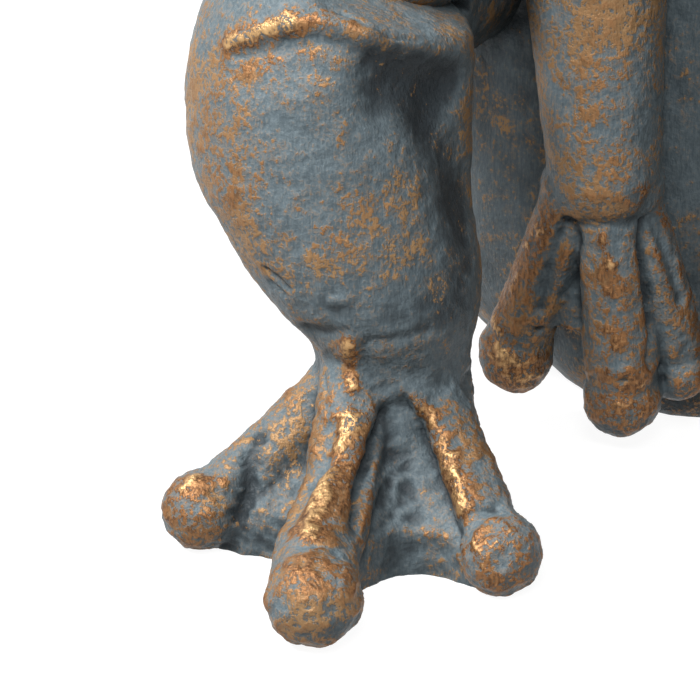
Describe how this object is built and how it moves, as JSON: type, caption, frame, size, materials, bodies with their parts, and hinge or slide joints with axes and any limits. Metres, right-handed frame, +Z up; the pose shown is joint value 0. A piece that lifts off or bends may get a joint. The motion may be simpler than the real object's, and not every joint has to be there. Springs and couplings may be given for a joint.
{
  "type": "frog figurine",
  "caption": "Seated frog figurine with raised knees, hanging arms and webbed toes and fingers, cast in pinned and glued pieces.",
  "frame": {"origin": "middle of the flat seat, on the surface that the figurine sits on", "axes": "+Z up, -Y the way the frog faces, +X to the frog's left"},
  "size_m": [0.442, 0.413, 0.4553],
  "materials": {
    "painted_casting": "slate grey paint rubbed through to a bronze undercoat, satin",
    "bare_casting": "matte",
    "steel": "plain"
  },
  "bodies": {
    "root": {"torso_front_shell": "painted_casting", "torso_back_shell": "painted_casting", "seat_plate": "bare_casting", "head_lower_shell": "painted_casting", "head_upper_shell": "painted_casting", "left_eye": "painted_casting", "right_eye": "painted_casting", "left_thigh": "painted_casting", "left_calf": "painted_casting", "left_foot": "painted_casting", "left_arm": "painted_casting", "left_hand": "painted_casting", "right_thigh": "painted_casting", "right_calf": "painted_casting", "right_foot": "painted_casting", "right_arm": "painted_casting", "right_hand": "painted_casting", "neck_dowels": "steel", "shoulder_dowels": "steel", "wrist_dowels": "steel", "hip_dowels": "steel", "knee_dowels": "steel", "ankle_dowels": "steel"}
  },
  "joints": []
}
